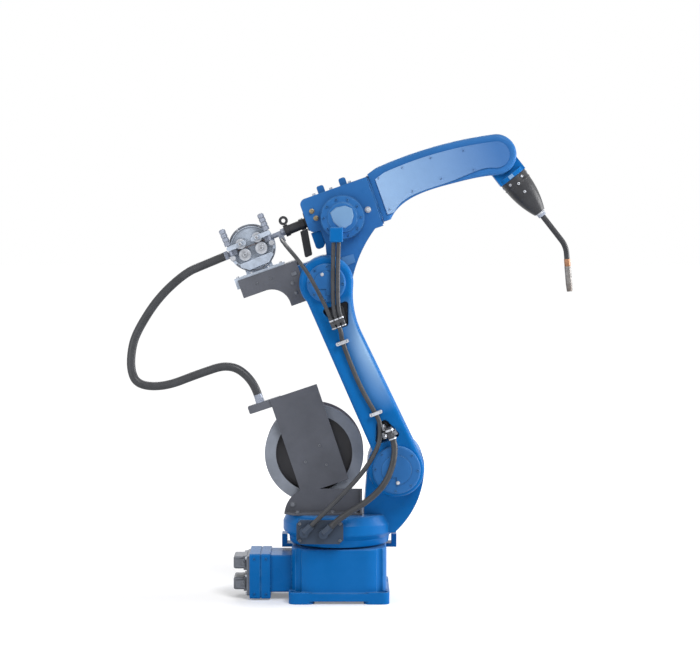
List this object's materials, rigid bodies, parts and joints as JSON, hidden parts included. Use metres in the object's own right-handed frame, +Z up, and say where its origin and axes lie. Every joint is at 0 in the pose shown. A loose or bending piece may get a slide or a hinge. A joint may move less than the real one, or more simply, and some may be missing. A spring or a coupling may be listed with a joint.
{
  "type": "welding robot arm",
  "caption": "Jointed floor-standing arm for arc welding, with a swivelling turret, wire reel, wire feeder behind the elbow, slim rolling forearm and a curved torch.",
  "frame": {"origin": "on the floor, under the swivel axis, at the centre of the base bolts", "axes": "+X the way the arm reaches, +Z up, -Y the side that carries the lower arm and its hoses"},
  "size_m": [1.352, 0.465, 1.4126],
  "materials": {
    "blue_paint": "gloss enamel",
    "dark_sheet": "dark powder coat",
    "motor_black": "satin black",
    "cast_aluminium": "bare casting",
    "plated_steel": "zinc plate",
    "spool_plastic": "moulded grey",
    "weld_wire": "coppered wire",
    "hose_rubber": "black rubber",
    "torch_black": "moulded black",
    "copper": "copper",
    "nozzle_metal": "heat-stained"
  },
  "bodies": {
    "base": {"base_casting": "blue_paint", "rear_box": "blue_paint", "connector_panel": "cast_aluminium", "rear_plugs": "cast_aluminium"},
    "turret": {"turret_casting": "blue_paint", "shoulder_motor": "motor_black", "hose_plate": "dark_sheet", "reel_stand": "dark_sheet", "reel_spindle": "plated_steel", "guide_bar": "dark_sheet", "reel_fitting": "plated_steel", "arm_hose_span": "hose_rubber", "shoulder_hose": "hose_rubber"},
    "spool": {"wire_spool": "spool_plastic", "wound_wire": "weld_wire"},
    "lower_arm": {"lower_arm_casting": "blue_paint", "hub_covers": "blue_paint", "elbow_glands": "plated_steel", "shoulder_glands": "plated_steel", "arm_hose": "hose_rubber", "hose_clamps": "plated_steel"},
    "elbow": {"elbow_casting": "blue_paint", "elbow_motor": "motor_black", "roll_motor": "blue_paint", "side_covers": "blue_paint", "hose_block": "blue_paint", "elbow_hoses": "hose_rubber", "feeder_bracket": "dark_sheet", "feeder_base": "cast_aluminium", "feeder_housing": "cast_aluminium", "feeder_motor": "motor_black", "wire_inlet": "plated_steel", "torch_adaptor": "torch_black", "clamp_handle": "torch_black", "feeder_cable": "hose_rubber", "wire_conduit": "hose_rubber"},
    "rear_lever": {"rear_lever": "plated_steel"},
    "front_lever": {"front_lever": "plated_steel"},
    "forearm": {"forearm_casting": "blue_paint", "forearm_covers": "blue_paint"},
    "wrist": {"wrist_casting": "blue_paint"},
    "torch": {"tool_flange": "torch_black", "torch_holder": "torch_black", "torch_collar": "plated_steel", "torch_neck": "torch_black", "insulator_ring": "copper", "gas_nozzle": "nozzle_metal"}
  },
  "joints": [
    {"name": "swivel", "type": "hinge", "parent": "base", "child": "turret", "pos_m": [0, 0, 0.165], "axis": [0, 0, 1], "range_deg": [-165, 165]},
    {"name": "shoulder", "type": "hinge", "parent": "turret", "child": "lower_arm", "pos_m": [0.172, -0.09, 0.41], "axis": [0, 1, 0], "range_deg": [-20, 75], "deforming": ["arm_hose_span", "shoulder_hose", "wire_conduit"]},
    {"name": "elbow", "type": "hinge", "parent": "lower_arm", "child": "elbow", "pos_m": [-0.0377, -0.084, 0.96789], "axis": [0, -1, 0], "range_deg": [-60, 70], "deforming": ["elbow_hoses", "feeder_cable"]},
    {"name": "forearm_roll", "type": "hinge", "parent": "elbow", "child": "forearm", "pos_m": [-0.10112, 0, 1.14699], "axis": [0.9426, 0, 0.3338], "range_deg": [-165, 165]},
    {"name": "wrist_bend", "type": "hinge", "parent": "forearm", "child": "wrist", "pos_m": [0.47389, 0, 1.35062], "axis": [0, -1, 0], "range_deg": [-17, 158]},
    {"name": "tool_roll", "type": "hinge", "parent": "wrist", "child": "torch", "pos_m": [0.47389, 0, 1.35062], "axis": [0.6157, 0, -0.788], "range_deg": [-200, 200]},
    {"name": "spool_spin", "type": "hinge", "parent": "turret", "child": "spool", "pos_m": [-0.076, 0, 0.446], "axis": [0, 1, 0], "continuous": true},
    {"name": "rear_lever_tilt", "type": "hinge", "parent": "elbow", "child": "rear_lever", "pos_m": [-0.32068, -0.0265, 1.03657], "axis": [0, -1, 0], "range_deg": [0, 40]},
    {"name": "front_lever_tilt", "type": "hinge", "parent": "elbow", "child": "front_lever", "pos_m": [-0.20427, -0.0265, 1.08479], "axis": [0, 1, 0], "range_deg": [0, 40]}
  ]
}
